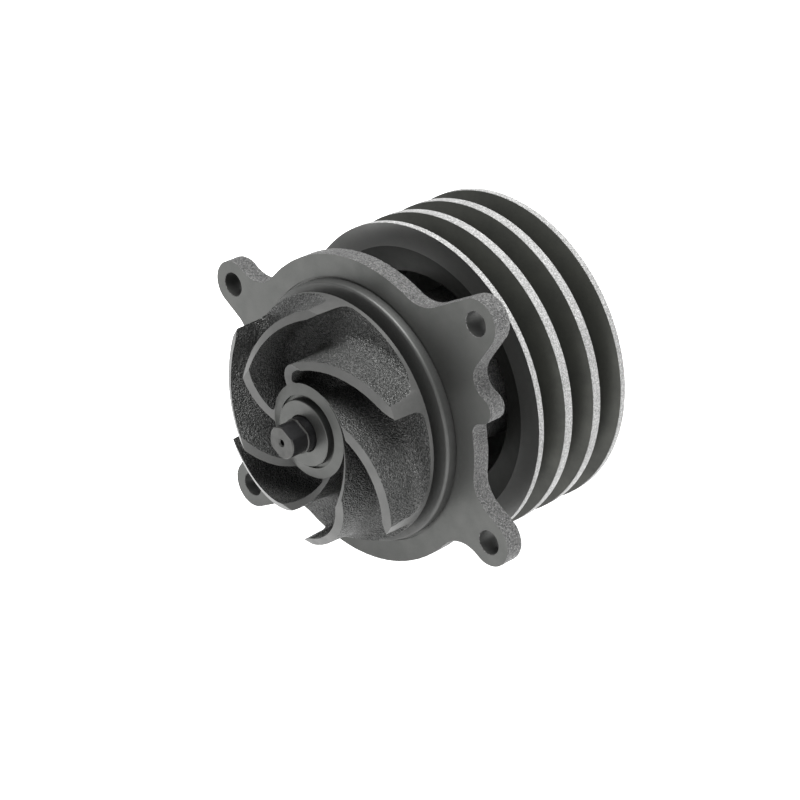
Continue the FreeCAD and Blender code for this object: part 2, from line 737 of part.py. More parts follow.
def make_impeller():
    """Hub and back plate with six curved vanes, cast as one and faced on the front and the rim."""
    hub = doc.addObject("PartDesign::Body", "impeller_hub")
    turn(hub, [
        ("impeller_seat_radius + bore_chamfer", "boss_face"),
        ("boss_radius", "boss_face"),
        ("boss_radius", "boss_groove_floor"),
        ("boss_groove_radius", "boss_groove_floor"),
        ("boss_groove_radius", "hub_ring_face"),
        ("hub_ring_radius", "hub_ring_outer_face"),
        ("hub_ring_radius", "hub_foot_face"),
        ("impeller_radius", "plate_rim_face"),
        ("impeller_radius", "impeller_back"),
        ("seat_cup_radius", "impeller_back"),
        ("seat_cup_radius", "-impeller_seat_end"),
        ("impeller_seat_radius", "-impeller_seat_end"),
        ("impeller_seat_radius", "boss_face + bore_chamfer"),
    ], "hub_and_plate")
    round_hub_foot(hub)

    reach = turned_body("vane_reach", [
        ("boss_groove_radius + 1", "impeller_back - 0.6"),
        ("boss_groove_radius + 1", "hub_ring_outer_face + 4"),
        ("hub_ring_radius - 0.2", "hub_ring_outer_face + 0.3"),
        ("vane_kink_radius", "vane_kink_face"),
        ("impeller_radius", "vane_tip_face"),
        ("impeller_radius", "impeller_back - 0.6"),
    ])
    doc.recompute()
    section = vane_outline()
    section.Placement = Placement(Vector(0, value("impeller_back - 0.6"), 0), Rotation(Vector(1, 0, 0), 90))
    blank = section.extrude(Vector(0, value("vane_kink_face - impeller_back"), 0))
    vanes = []
    for index in range(int(value("vane_count"))):
        vane = doc.addObject("Part::Feature", "vane_blank")
        vane.Shape = blank
        vane.Placement = Placement(Vector(), Rotation(Vector(0, 1, 0), 360 * index / value("vane_count")))
        trimmed = doc.addObject("Part::Common", "vane")
        trimmed.Base = vane
        trimmed.Tool = reach
        vanes.append(trimmed)
    whole = doc.addObject("Part::MultiFuse", "impeller_fused")
    whole.Shapes = [hub] + vanes
    return finished(whole, "impeller")


def make_pulley():
    """Rim with three V-grooves, web and keyed hub, cast as one."""
    rear = "(pulley_front + 2 * edge_land + 3 * groove_width + 2 * middle_land)"
    narrowing = "groove_depth * tan(groove_half_angle)"
    profile = [
        ("pulley_seat_radius", "bearing_seat_end + 0.2"),
        ("pulley_hub_radius", "bearing_seat_end + 0.2"),
        ("pulley_hub_radius", "web_front"),
        ("rim_inner_radius - web_blend", "web_front"),
        ("rim_inner_radius", "web_front - web_blend"),
        ("rim_inner_radius", "pulley_front + front_step_depth"),
        ("front_step_radius", "pulley_front"),
        ("pulley_radius", "pulley_front"),
    ]
    for index in range(GROOVE_COUNT):
        edge = f"(pulley_front + edge_land + {index} * (groove_width + middle_land))"
        profile += [
            ("pulley_radius", edge),
            ("pulley_radius - groove_depth", f"{edge} + {narrowing}"),
            ("pulley_radius - groove_depth", f"{edge} + groove_width - {narrowing}"),
            ("pulley_radius", f"{edge} + groove_width"),
        ]
    profile += [
        ("pulley_radius", rear),
        ("front_step_radius", rear),
        ("rear_recess_radius", f"{rear} - front_step_depth"),
        ("rear_recess_radius", "web_rear"),
        ("pulley_seat_radius", "web_rear"),
    ]
    turned = turned_body("pulley", profile)
    finished(cut(turned, key_blank("pulley_keyway"), "pulley_cut"), "pulley")


def make_pulley_fasteners():
    """Key, washer and hexagon nut."""
    finished(key_blank("key_block"), "pulley_key")
    finished(ring("washer", "thread_radius", "washer_radius", "web_rear", "web_rear + washer_thickness"),
             "pulley_washer")
    start = "(web_rear + washer_thickness)"
    end = "(web_rear + washer_thickness + nut_height)"
    corner_radius = "(nut_across_flats / 2 / cos(30))"
    hexagon = primitive("Part::Prism", "nut_hexagon", on_axis(value(start)), Circumradius=corner_radius,
                        Height="nut_height")
    hexagon.Polygon = 6
    rounding = turned_body("nut_rounding", [
        ("thread_radius", start),
        (corner_radius, start),
        (corner_radius, f"{end} - nut_chamfer / 2"),
        (f"{corner_radius} - nut_chamfer", end),
        ("thread_radius", end),
    ])
    nut = doc.addObject("Part::Common", "nut_common")
    nut.Base = hexagon
    nut.Tool = rounding
    finished(nut, "pulley_nut")


def write_pieces():
    """Stops on any failed object or bad shape, and then writes one file for each piece."""
    doc.recompute()
    for item in doc.Objects:
        if {"Invalid", "Error"} & set(item.State):
            raise RuntimeError(f"{item.Label} failed: {item.State}")
    os.makedirs("parts", exist_ok=True)
    for label, item in PIECES.items():
        shape = item.Shape
        if shape.isNull() or not shape.isValid() or not shape.Solids:
            raise RuntimeError(f"{label} has no valid solid")
        shape.exportStep(f"parts/{label}.step")
        print(f"{label}: {len(shape.Solids)} solids, {shape.Volume / 1000:.2f} cm3")


make_housing()
make_shaft()
make_bearing("front")
make_bearing("rear")
make_bearing_fasteners()
make_seal()
make_slinger()
make_impeller()
make_pulley()
make_pulley_fasteners()
write_pieces()
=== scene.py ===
import bmesh
import bpy
import math
import numpy as np
from mathutils import Matrix, Vector, noise


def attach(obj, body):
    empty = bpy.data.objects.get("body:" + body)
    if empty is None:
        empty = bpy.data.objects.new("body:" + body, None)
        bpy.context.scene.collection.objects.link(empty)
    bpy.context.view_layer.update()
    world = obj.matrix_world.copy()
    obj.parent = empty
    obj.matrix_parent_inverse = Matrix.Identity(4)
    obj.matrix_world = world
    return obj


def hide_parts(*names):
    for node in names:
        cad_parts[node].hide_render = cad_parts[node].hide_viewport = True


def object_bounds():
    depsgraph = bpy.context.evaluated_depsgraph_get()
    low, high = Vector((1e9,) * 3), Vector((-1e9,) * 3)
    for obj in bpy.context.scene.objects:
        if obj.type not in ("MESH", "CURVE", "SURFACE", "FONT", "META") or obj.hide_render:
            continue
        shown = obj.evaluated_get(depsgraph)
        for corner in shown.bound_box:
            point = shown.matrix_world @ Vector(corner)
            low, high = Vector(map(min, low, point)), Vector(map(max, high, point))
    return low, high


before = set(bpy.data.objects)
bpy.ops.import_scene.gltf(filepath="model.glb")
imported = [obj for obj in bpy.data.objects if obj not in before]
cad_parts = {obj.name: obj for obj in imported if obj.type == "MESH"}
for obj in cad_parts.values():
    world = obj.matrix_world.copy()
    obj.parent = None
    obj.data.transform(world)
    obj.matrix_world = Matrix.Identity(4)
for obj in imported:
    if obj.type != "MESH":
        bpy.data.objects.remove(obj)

# The pump's shaft lies on the Y axis: impeller in front (-Y), flange at Y = 0, pulley behind (+Y).
# Profiles are lists of (radius, place along the axis) in millimetres.

MM = 0.001
cad_low, cad_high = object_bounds()

PULLEY_RADIUS = 70.5
PULLEY_FRONT = 34.5
WEB_REAR = 79.0
SEAT_RADIUS = 8.5
FLANGE_THICKNESS = 8.8
PILOT_RADIUS = 56.6
KEY_OUTLINE = [(-2, 6.5), (2, 6.5), (2, 10.5), (-2, 10.5)]
KEY_START, KEY_END = 68.5, 77.5


# ---------------------------------------------------------------- mesh helpers

def link(name, mesh):
    piece = bpy.data.objects.new(name, mesh)
    bpy.context.scene.collection.objects.link(piece)
    return piece


def lathe(name, profile, segments=384, centre=(0, 0)):
    """A closed solid turned about the Y axis, or a line along it, from a closed profile."""
    count = len(profile)
    vertices = []
    rings = []
    for radius, place in profile:
        if radius < 1e-9:
            rings.append([len(vertices)])
            vertices.append((centre[0] * MM, place * MM, centre[1] * MM))
            continue
        rings.append(list(range(len(vertices), len(vertices) + segments)))
        for step in range(segments):
            angle = 2 * math.pi * step / segments
            x = centre[0] + radius * math.cos(angle)
            z = centre[1] + radius * math.sin(angle)
            vertices.append((x * MM, place * MM, z * MM))
    faces = []
    for index in range(count):
        first, second = rings[index], rings[(index + 1) % count]
        if len(first) == 1 and len(second) == 1:
            continue
        for step in range(segments):
            following = (step + 1) % segments
            if len(first) == 1:
                faces.append((first[0], second[step], second[following]))
            elif len(second) == 1:
                faces.append((first[step], second[0], first[following]))
            else:
                faces.append((first[step], second[step], second[following], first[following]))
    mesh = bpy.data.meshes.new(name)
    mesh.from_pydata(vertices, [], faces)
    repair(mesh)
    return link(name, mesh)


def repair(mesh, merge=1e-7):
    """Merges doubled points and turns all faces outwards."""
    work = bmesh.new()
    work.from_mesh(mesh)
    bmesh.ops.remove_doubles(work, verts=work.verts, dist=merge)
    bmesh.ops.recalc_face_normals(work, faces=work.faces)
    work.to_mesh(mesh)
    work.free()


def prism(name, outline, start, end):
    """A closed solid between two places along the axis, from an outline of (x, z) points."""
    count = len(outline)
    vertices = [(x * MM, start * MM, z * MM) for x, z in outline]
    vertices += [(x * MM, end * MM, z * MM) for x, z in outline]
    faces = [tuple(range(count)), tuple(range(2 * count - 1, count - 1, -1))]
    for index in range(count):
        following = (index + 1) % count
        faces.append((index, following, following + count, index + count))
    mesh = bpy.data.meshes.new(name)
    mesh.from_pydata(vertices, [], faces)
    repair(mesh)
    return link(name, mesh)


def apply_modifiers(piece):
    """Replaces a piece's mesh by the result of its modifiers."""
    graph = bpy.context.evaluated_depsgraph_get()
    mesh = bpy.data.meshes.new_from_object(piece.evaluated_get(graph), depsgraph=graph)
    piece.modifiers.clear()
    piece.data = mesh
    return piece


def join(pieces, name):
    """One object made of several closed shells."""
    work = bmesh.new()
    for piece in pieces:
        work.from_mesh(piece.data)
        bpy.data.objects.remove(piece)
    mesh = bpy.data.meshes.new(name)
    work.to_mesh(mesh)
    work.free()
    return link(name, mesh)


def as_cast(piece, voxel, rounds):
    """Merges the shells of a piece and rounds its corners, as a casting comes out of the sand."""
    remesh = piece.modifiers.new("remesh", "REMESH")
    remesh.mode = "VOXEL"
    remesh.voxel_size = voxel * MM
    smooth = piece.modifiers.new("smooth", "SMOOTH")
    smooth.factor = 0.5
    smooth.iterations = rounds
    return apply_modifiers(piece)


def roughen(piece, wave, height):
    """Moves the points of a casting in and out a little, like sand grain."""
    mesh = piece.data
    count = len(mesh.vertices)
    places = np.empty(count * 3)
    normals = np.empty(count * 3)
    mesh.vertices.foreach_get("co", places)
    mesh.vertex_normals.foreach_get("vector", normals)
    places = places.reshape(count, 3)
    normals = normals.reshape(count, 3)
    second_offset = Vector((7, 3, 1))
    for index in range(count):
        at = Vector(places[index]) / (wave * MM)
        lift = noise.noise(at) + 0.5 * noise.noise(at * 2.3 + second_offset)
        places[index] += normals[index] * (lift * height * MM)
    mesh.vertices.foreach_set("co", places.ravel())
    mesh.update()
    return piece


def boolean(piece, tool, operation):
    cutter = piece.modifiers.new("boolean", "BOOLEAN")
    cutter.operation = operation
    cutter.solver = "MANIFOLD"
    cutter.object = tool
    apply_modifiers(piece)
    bpy.data.objects.remove(tool)
    return piece


def finish_mesh(piece, materials, choose=None, angle=32):
    """Sets the materials, picks one for each face, and shades smooth between sharp edges."""
    mesh = piece.data
    mesh.materials.clear()
    for item in materials:
        mesh.materials.append(item)
    if choose:
        for face in mesh.polygons:
            face.material_index = choose(face.center / MM, face.normal)
    mesh.polygons.foreach_set("use_smooth", [True] * len(mesh.polygons))
    mesh.set_sharp_from_angle(angle=math.radians(angle))
    mesh.update()
    return piece


def place_along(points, radius):
    """The place along the axis of a straight-sided profile at a radius."""
    (first_radius, first), (second_radius, second) = points
    return first + (radius - first_radius) / (second_radius - first_radius) * (second - first)


# ---------------------------------------------------------------- materials

class Shader:
    """A material whose nodes are added one at a time."""

    def __init__(self, name, metallic, roughness):
        self.material = bpy.data.materials.new(name)
        self.material.use_nodes = True
        self.tree = self.material.node_tree
        self.surface = self.tree.nodes["Principled BSDF"]
        self.surface.inputs["Metallic"].default_value = metallic
        self.surface.inputs["Roughness"].default_value = roughness
        self.object_place = self.node("ShaderNodeTexCoord").outputs["Object"]

    def node(self, kind, **settings):
        made = self.tree.nodes.new(kind)
        for name, setting in settings.items():
            setattr(made, name, setting)
        return made

    def join(self, source, target):
        if isinstance(source, (int, float)):
            target.default_value = source
        else:
            self.tree.links.new(source, target)

    def math(self, operation, first, second=0.0, third=0.0):
        made = self.node("ShaderNodeMath", operation=operation)
        for source, target in zip((first, second, third), made.inputs):
            self.join(source, target)
        return made.outputs[0]

    def noise(self, size, detail=2.0, roughness=0.5, place=None):
        """Noise whose patches are about this size in millimetres."""
        made = self.node("ShaderNodeTexNoise")
        made.inputs["Scale"].default_value = 1 / (size * MM)
        made.inputs["Detail"].default_value = detail
        made.inputs["Roughness"].default_value = roughness
        self.join(place or self.object_place, made.inputs["Vector"])
        return made.outputs["Fac"]

    def ramp(self, source, low, high, start, end):
        """The source's range from low to high, as start to end."""
        made = self.node("ShaderNodeMapRange")
        self.join(source, made.inputs["Value"])
        for name, setting in (("From Min", low), ("From Max", high), ("To Min", start), ("To Max", end)):
            made.inputs[name].default_value = setting
        return made.outputs["Result"]

    def blend(self, factor, first, second):
        made = self.node("ShaderNodeMix", data_type="RGBA")
        self.join(factor, made.inputs["Factor"])
        for source, target in ((first, made.inputs["A"]), (second, made.inputs["B"])):
            if isinstance(source, tuple):
                target.default_value = (*source, 1.0)
            else:
                self.join(source, target)
        return made.outputs["Result"]

    def turned_place(self):
        """Distance from the shaft axis and place along it, so that a texture runs in rings."""
        split = self.node("ShaderNodeSeparateXYZ")
        self.join(self.object_place, split.inputs[0])
        across = self.math("POWER", split.outputs["X"], 2.0)
        up = self.math("POWER", split.outputs["Z"], 2.0)
        radius = self.math("SQRT", self.math("ADD", across, up))
        combined = self.node("ShaderNodeCombineXYZ")
        self.join(radius, combined.inputs["X"])
        self.join(split.outputs["Y"], combined.inputs["Y"])
        return combined.outputs[0]

    def bump(self, height, distance, strength=1.0, below=None):
        made = self.node("ShaderNodeBump")
        made.inputs["Distance"].default_value = distance * MM
        made.inputs["Strength"].default_value = strength
        self.join(height, made.inputs["Height"])
        if below:
            self.join(below, made.inputs["Normal"])
        return made.outputs["Normal"]

    def colour(self, source):
        self.join(source, self.surface.inputs["Base Color"])

    def rough(self, source):
        self.join(source, self.surface.inputs["Roughness"])

    def normal(self, source):
        self.join(source, self.surface.inputs["Normal"])


def cast_iron(name, dark, light, grain, depth, metallic=0.5, roughness=0.5):
    """Sand-cast iron: a skin of small rounded grains, some of them much brighter than the rest."""
    shader = Shader(name, metallic, roughness)
    cells = shader.node("ShaderNodeTexVoronoi")
    cells.inputs["Scale"].default_value = 1 / (grain * MM)
    shader.join(shader.object_place, cells.inputs["Vector"])
    split = shader.node("ShaderNodeSeparateColor")
    shader.join(cells.outputs["Color"], split.inputs[0])
    coarse = shader.noise(grain * 1.7, 3.0, 0.6)
    patches = shader.noise(14, 3.0, 0.5)
    hollow = cells.outputs["Distance"]
    height = shader.math("MULTIPLY_ADD", coarse, 0.9, shader.math("MULTIPLY", hollow, -0.6))
    bright = shader.math("MULTIPLY", shader.ramp(split.outputs[0], 0.62, 0.98, 0.0, 1.0),
                         shader.ramp(hollow, 0.55, 0.15, 0.0, 1.0))
    base = shader.math("MULTIPLY", shader.ramp(coarse, 0.36, 0.66, 0.0, 0.7),
                       shader.ramp(hollow, 0.7, 0.2, 0.35, 1.0))
    body = shader.blend(shader.math("ADD", base, shader.math("MULTIPLY", bright, 0.4)), dark, light)
    shader.colour(shader.blend(shader.ramp(patches, 0.35, 0.7, 0.0, 0.3), body, dark))
    shader.rough(shader.ramp(split.outputs[1], 0.0, 1.0, roughness + 0.12, roughness - 0.08))
    shader.normal(shader.bump(height, depth))
    return shader.material


def turned_iron(name, dark, light, roughness=0.42, lines=0.35, depth=0.012, metallic=0.85):
    """Machined iron: fine rings left by the lathe and a faint oil-dark mottle."""
    shader = Shader(name, metallic, roughness)
    rings = shader.noise(lines, 2.0, 0.7, shader.turned_place())
    mottle = shader.noise(9, 4.0, 0.6)
    specks = shader.noise(0.7, 2.0, 0.6)
    body = shader.blend(shader.ramp(mottle, 0.3, 0.7, 0.0, 1.0), dark, light)
    shader.colour(shader.blend(shader.ramp(specks, 0.45, 0.75, 0.0, 0.35), body, light))
    shader.rough(shader.ramp(mottle, 0.3, 0.7, roughness + 0.04, roughness - 0.04))
    below = shader.bump(specks, depth * 1.5)
    shader.normal(shader.bump(rings, depth, 1.0, below))
    return shader.material


def plain_metal(name, colour, metallic, roughness):
    """Small turned or pressed pieces: even colour with a faint grain."""
    line_width = 0.3
    line_depth = 0.006
    shader = Shader(name, metallic, roughness)
    grain = shader.noise(line_width, 2.0, 0.6, shader.turned_place())
    patches = shader.noise(4, 3.0, 0.5)
    shade = tuple(part * 0.8 for part in colour)
    shader.colour(shader.blend(shader.ramp(patches, 0.3, 0.7, 0.0, 1.0), colour, shade))
    shader.rough(shader.ramp(patches, 0.3, 0.7, roughness - 0.04, roughness + 0.06))
    shader.normal(shader.bump(grain, line_depth))
    return shader.material


CAST = cast_iron("cast_iron_dark", (0.026, 0.027, 0.026), (0.165, 0.165, 0.162), 0.64, 0.8, 0.6, 0.42)
CAST_PALE = cast_iron("cast_iron_pale", (0.022, 0.022, 0.022), (0.29, 0.29, 0.285), 0.5, 0.7, 0.1)
TURNED = turned_iron("turned_iron", (0.066, 0.068, 0.065), (0.075, 0.076, 0.073))
VANE = turned_iron("turned_vane", (0.066, 0.067, 0.065), (0.088, 0.088, 0.086), 0.42, metallic=0.45)
PILOT = turned_iron("turned_pilot", (0.05, 0.051, 0.049), (0.066, 0.067, 0.065), 0.48, metallic=0.6)
# Pulley cones: the pulley's darker coat, made darker still than the flat ring as painted shade on the dish.
DISH_COAT_AND_SHADE = turned_iron("turned_dark_coat_painted_shade", (0.017, 0.018, 0.016), (0.021, 0.022, 0.02), 0.46, 0.5, 0.01, 0.95)
RIM_FACE = turned_iron("turned_rim_face", (0.1, 0.101, 0.098), (0.115, 0.116, 0.113), 0.38, 0.5, 0.008, 0.85)
# Pulley cup, web and hub: a lighter copy of the turned iron, painted light standing in for light reaching
# into the cup.
BORE = turned_iron("turned_bore_painted_light", (0.09, 0.091, 0.088), (0.11, 0.111, 0.108), 0.6, metallic=0.2)
# Ear hole walls: a darker copy of the turned iron, painted shade inside the drilled holes.
HOLE = turned_iron("turned_hole_painted_shade", (0.042, 0.043, 0.041), (0.055, 0.056, 0.054), 0.5, metallic=0.6)
GROOVE = turned_iron("groove_skin", (0.024, 0.025, 0.022), (0.038, 0.039, 0.034), 0.42, 0.4, 0.008, 0.6)
LAND = cast_iron("rim_land", (0.14, 0.14, 0.138), (0.74, 0.74, 0.735), 0.42, 0.35, 0.1)
SHAFT = plain_metal("shaft_steel", (0.05, 0.05, 0.052), 0.9, 0.36)
# Shaft nose: a lighter copy of the shaft steel on the faces turned to the front, painted light and highlight.
SHAFT_FRONT_PAINTED_LIGHT = plain_metal("shaft_front_painted_light", (0.064, 0.064, 0.062), 0.9, 0.42)
STEEL = plain_metal("bearing_steel", (0.55, 0.55, 0.54), 1.0, 0.2)
PRESSED = plain_metal("pressed_steel", (0.35, 0.35, 0.34), 1.0, 0.34)
ZINC = plain_metal("zinc_plate", (0.42, 0.42, 0.4), 0.95, 0.34)
BRASS = plain_metal("seal_brass", (0.5, 0.36, 0.15), 1.0, 0.3)
RUBBER = plain_metal("seal_rubber", (0.015, 0.015, 0.016), 0.0, 0.6)
CARBON = plain_metal("seal_carbon", (0.03, 0.03, 0.032), 0.1, 0.45)
CERAMIC = plain_metal("seal_ceramic", (0.72, 0.7, 0.64), 0.0, 0.3)


def cut_keyway(piece):
    boolean(piece, prism("keyway", KEY_OUTLINE, KEY_START, KEY_END), "DIFFERENCE")


# ---------------------------------------------------------------- pulley

def make_pulley():
    """Rim with three V-grooves and four lands; the web and hub stand inside it."""
    land = 2.85
    middle_land = 4.35
    groove_width = 12.9
    groove_depth = 12.4
    narrowing = groove_depth * math.tan(math.radians(18))
    break_edge = 0.18
    bevel_depth = 5.0
    bevel_radius = 60.3
    cup_radius = 48.2
    cup_fillet = 4.0
    hub_radius = 18.0
    hub_front = 66.2
    web_front = 72.0
    rear = PULLEY_FRONT + 2 * land + 3 * groove_width + 2 * middle_land
    profile = [
        (SEAT_RADIUS, hub_front), (hub_radius, hub_front), (hub_radius, web_front),
        (cup_radius - cup_fillet, web_front), (cup_radius, web_front - cup_fillet),
        (cup_radius, PULLEY_FRONT + bevel_depth), (bevel_radius, PULLEY_FRONT),
        (PULLEY_RADIUS - break_edge, PULLEY_FRONT), (PULLEY_RADIUS, PULLEY_FRONT + break_edge),
    ]
    for index in range(3):
        edge = PULLEY_FRONT + land + index * (groove_width + middle_land)
        far = edge + groove_width
        bottom = PULLEY_RADIUS - groove_depth
        profile += [
            (PULLEY_RADIUS, edge - break_edge), (PULLEY_RADIUS - break_edge, edge),
            (bottom, edge + narrowing), (bottom, far - narrowing),
            (PULLEY_RADIUS - break_edge, far), (PULLEY_RADIUS, far + break_edge),
        ]
    profile += [
        (PULLEY_RADIUS, rear - break_edge), (PULLEY_RADIUS - break_edge, rear),
        (bevel_radius, rear), (50.0, rear - bevel_depth), (50.0, WEB_REAR + 1.5), (48.5, WEB_REAR),
        (SEAT_RADIUS, WEB_REAR),
    ]
    pulley = lathe("pulley_rim", profile)
    cut_keyway(pulley)

    def choose(centre, normal):
        radius = math.hypot(centre.x, centre.z)
        if radius > PULLEY_RADIUS - break_edge * 0.6:
            return 0
        if radius > PULLEY_RADIUS - groove_depth - 0.1 and abs(normal.y) < 0.999:
            return 1
        if radius > bevel_radius:
            return 2
        # Cones take the dark coat with painted shade.
        # Inside the cup the lighter copy gives painted light.
        return 3 if radius > cup_radius + 0.2 else 4

    finish_mesh(pulley, [LAND, GROOVE, RIM_FACE, DISH_COAT_AND_SHADE, BORE], choose)
    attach(pulley, "rotor")
    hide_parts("pulley")


# ---------------------------------------------------------------- impeller

VANE_COUNT = 6
KINK_ANGLE = 89.5
KINK = (33.5, -36.7)
TIP = (53.6, -26.1)
HUB_RING = (20.5, -27.2)
RING_FACE = -28.0
PLATE_RIM = (53.6, -10.8)
PLATE_FOOT = (20.5, -13.4)
IMPELLER_BACK = -9.2
GROWTH = 0.339
INNER_CURVE_GAP = 3.65


def vane_outline(turn, spread):
    """Outline of one vane between two spirals, thickened both ways; sweep starts from the kink."""
    steps = 36
    start = KINK_ANGLE + turn

    def spiral(first, last, shift):
        points = []
        for step in range(steps + 1):
            sweep = first + (last - first) * step / steps
            radius = KINK[0] + GROWTH * sweep + shift
            angle = math.radians(start - sweep)
            points.append((radius * math.cos(angle), radius * math.sin(angle)))
        return points

    lean = 1.14 * spread
    convex = spiral(-44, 63.5, lean)
    concave = spiral(-36, 60, -INNER_CURVE_GAP - lean)
    rim_angle = math.radians(start - 65) - spread / TIP[0]
    rim = (TIP[0] * math.cos(rim_angle), TIP[0] * math.sin(rim_angle))
    last = concave[-1]
    beyond = (last[0] + 1.5 * (rim[0] - last[0]), last[1] + 1.5 * (rim[1] - last[1]))
    return convex + [beyond] + concave[::-1]


def vane_blank(turn):
    """One vane before facing: it thickens towards its root and flares into the plate."""
    fillet = 4.6
    draft = 0.045
    draft_height = 15.0
    heights = [0.0, 0.12, 0.35, 0.7, 1.2, 1.9, 2.9, fillet, 9.0, draft_height, 32.0]
    plate_slope = (PLATE_RIM[1] - PLATE_FOOT[1]) / (PLATE_RIM[0] - PLATE_FOOT[0])
    vertices = []
    for height in [-1.5] + heights:
        above = max(height, 0.0)
        spread = draft * max(draft_height - above, 0.0)
        if above < fillet:
            spread += fillet - math.sqrt(fillet ** 2 - (fillet - above) ** 2)
        for x, z in vane_outline(turn, spread):
            plate = PLATE_FOOT[1] + plate_slope * (math.hypot(x, z) - PLATE_FOOT[0])
            vertices.append((x * MM, (plate - height) * MM, z * MM))
    rings = len(heights) + 1
    count = len(vertices) // rings
    faces = [tuple(range(count)), tuple(range(rings * count - 1, (rings - 1) * count - 1, -1))]
    for order in range(rings - 1):
        for index in range(count):
            following = (index + 1) % count
            low, high = order * count, (order + 1) * count
            faces.append((low + index, low + following, high + following, high + index))
    mesh = bpy.data.meshes.new("vane_blank")
    mesh.from_pydata(vertices, [], faces)
    repair(mesh)
    return link("vane_blank", mesh)


def make_impeller():
    """Cast blank of hub, plate and vanes, faced by a turned envelope."""
    over = 3.0
    blank = [lathe("hub_blank", [
        (0, IMPELLER_BACK + over), (TIP[0] + over, IMPELLER_BACK + over), (TIP[0] + over, PLATE_RIM[1]),
        (31, -12.6), (26, -14.2), (22.5, -17.5), (20.6, -21.5), (HUB_RING[0], -38), (0, -38),
    ], 128)]
    for index in range(VANE_COUNT):
        blank.append(vane_blank(360 * index / VANE_COUNT))
    impeller = join(blank, "impeller_casting")
    as_cast(impeller, 0.57, 8)
    roughen(impeller, 1.25, 0.1)
    envelope = lathe("impeller_envelope", [
        (7.5, -13.2), (15.4, -13.2), (15.4, IMPELLER_BACK), (TIP[0], IMPELLER_BACK), TIP, KINK,
        HUB_RING, (15.9, RING_FACE), (15.9, -26.8), (14.4, -26.8), (14.4, -30.05), (14.1, -30.35),
        (8.1, -30.35), (7.5, -29.75),
    ])
    boolean(impeller, envelope, "INTERSECT")
    faced = 0.06

    def choose(centre, normal):
        radius = math.hypot(centre.x, centre.z)
        if radius > TIP[0] - faced or centre.y > IMPELLER_BACK - faced:
            return 0
        if radius < 16.0:
            return 1
        if radius > KINK[0]:
            front = place_along((KINK, TIP), radius)
        elif radius > HUB_RING[0]:
            front = place_along((HUB_RING, KINK), radius)
        else:
            front = place_along(((15.9, RING_FACE), HUB_RING), radius)
        if centre.y > front + faced:
            return 2
        return 0 if radius > HUB_RING[0] else 1

    finish_mesh(impeller, [VANE, TURNED, CAST], choose)
    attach(impeller, "rotor")
    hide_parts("impeller")


# ---------------------------------------------------------------- housing

# Distance from the axis and angle up from +X of each hole.
EAR_HOLES = [(90.5, 42.5), (90.5, 222.5), (82.3, -23.2), (82.3, 156.8)]
EAR_HOLE_RADIUS = 5.25
BARREL_END = 70.0
WEEP_RADIUS = 3.0
WEEP_PLACE = 20.5
RECESS_RADIUS = 46.0
RECESS_FLOOR = 3.0
WIDEST_BORE = 28.0

# Section of everything the lathe takes away from the casting: round the pilot, then up the chambers.
MACHINED_AWAY = [
    (0, -20), (140, -20), (140, 0), (57.6, 0), (57.6, 0.5), (56.6, 0.5), (56.6, -3.1), (56.5, -3.6),
    (56.2, -4.0), (55.75, -4.23), (55.2, -4.3),
    (RECESS_RADIUS + 0.2, -4.3), (RECESS_RADIUS, -4.1), (RECESS_RADIUS, RECESS_FLOOR), (19.0, RECESS_FLOOR),
    (19.0, 15.0), (10.5, 15.0), (10.5, 17.0),
    (17.5, 17.0), (17.5, 24.0), (21.0, 24.0), (21.0, 26.0), (23.5, 26.0), (23.5, 40.0), (24.0, 40.0),
    (24.0, 50.0), (26.0, 50.0), (26.0, 65.0), (27.6, 65.0), (27.6, 67.1), (26.0, 67.1), (26.0, BARREL_END),
    (140, BARREL_END), (140, 95), (0, 95),
]


def ear_centre(distance, angle):
    return (distance * math.cos(math.radians(angle)), distance * math.sin(math.radians(angle)))


